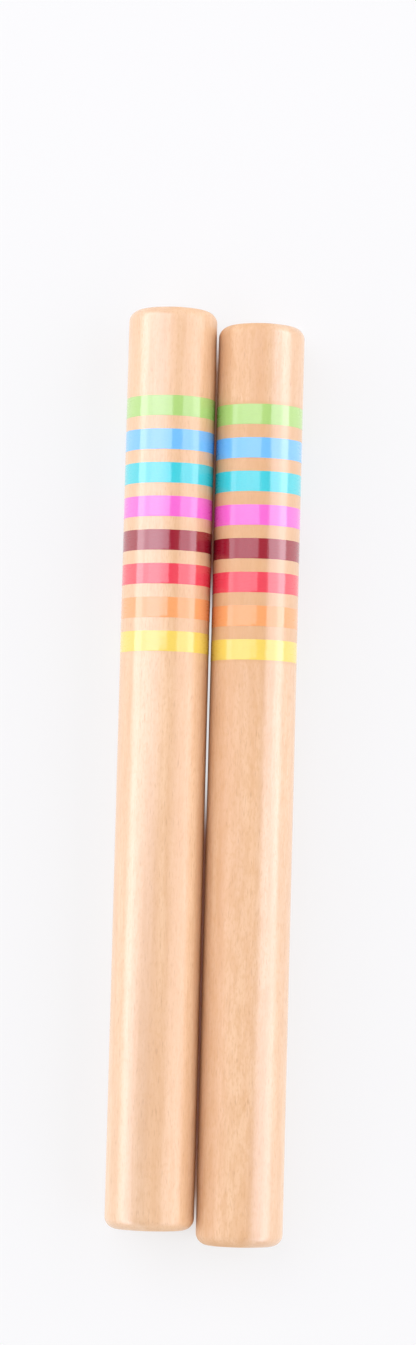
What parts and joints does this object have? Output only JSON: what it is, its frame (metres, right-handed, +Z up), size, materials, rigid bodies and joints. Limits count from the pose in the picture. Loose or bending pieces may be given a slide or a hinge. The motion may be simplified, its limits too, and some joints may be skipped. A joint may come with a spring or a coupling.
{
  "type": "claves",
  "caption": "Turned hardwood claves lying side by side: plain round sticks with softened ends and rings of coloured lacquer near one end.",
  "frame": {"origin": "middle of the bottom of the pair's box, on the surface that both sticks lie on", "axes": "+Y along both sticks, towards the ends with the lacquer bands; +X from the left stick to the right one; +Z up"},
  "size_m": [0.0348, 0.1826, 0.0175],
  "materials": {
    "wood": "satin",
    "green_lacquer": "gloss",
    "blue_lacquer": "gloss",
    "turquoise_lacquer": "gloss",
    "magenta_lacquer": "gloss",
    "burgundy_lacquer": "gloss",
    "red_lacquer": "gloss",
    "orange_lacquer": "gloss",
    "yellow_lacquer": "gloss"
  },
  "bodies": {
    "left_clave": {"left_stick": "wood", "left_green_band": "green_lacquer", "left_blue_band": "blue_lacquer", "left_turquoise_band": "turquoise_lacquer", "left_magenta_band": "magenta_lacquer", "left_burgundy_band": "burgundy_lacquer", "left_red_band": "red_lacquer", "left_orange_band": "orange_lacquer", "left_yellow_band": "yellow_lacquer"},
    "right_clave": {"right_stick": "wood", "right_green_band": "green_lacquer", "right_blue_band": "blue_lacquer", "right_turquoise_band": "turquoise_lacquer", "right_magenta_band": "magenta_lacquer", "right_burgundy_band": "burgundy_lacquer", "right_red_band": "red_lacquer", "right_orange_band": "orange_lacquer", "right_yellow_band": "yellow_lacquer"}
  },
  "joints": [
    {"name": "right_clave_lift", "type": "slide", "parent": "left_clave", "child": "right_clave", "axis": [0, 0, 1], "range_m": [0, 0.06]}
  ]
}
